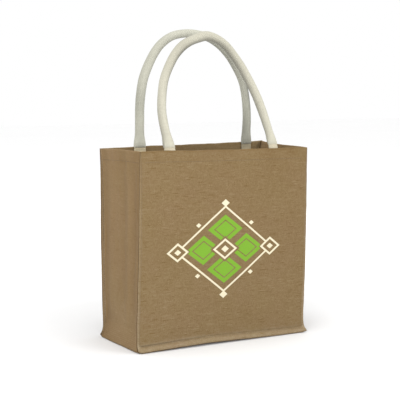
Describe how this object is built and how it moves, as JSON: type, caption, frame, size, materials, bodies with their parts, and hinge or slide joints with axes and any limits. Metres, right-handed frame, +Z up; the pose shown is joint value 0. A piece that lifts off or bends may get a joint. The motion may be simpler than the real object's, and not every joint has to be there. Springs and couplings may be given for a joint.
{
  "type": "tote bag",
  "caption": "Jute tote bag that stands open, with flat front and back panels, a boxed gusset strip with turned-out seams, and padded rope handles.",
  "frame": {"origin": "middle of the base, on the surface the bag stands on", "axes": "+X to the right along the front panel seen from the front, +Y from the front to the back, +Z up"},
  "size_m": [0.3345, 0.1663, 0.5367],
  "materials": {
    "jute_front": "matte",
    "jute_back": "matte",
    "jute_gusset": "matte",
    "cotton": "matte"
  },
  "bodies": {
    "root": {"front_panel": "jute_front", "back_panel": "jute_back", "gusset": "jute_gusset", "front_handle": "cotton", "back_handle": "cotton"}
  },
  "joints": []
}
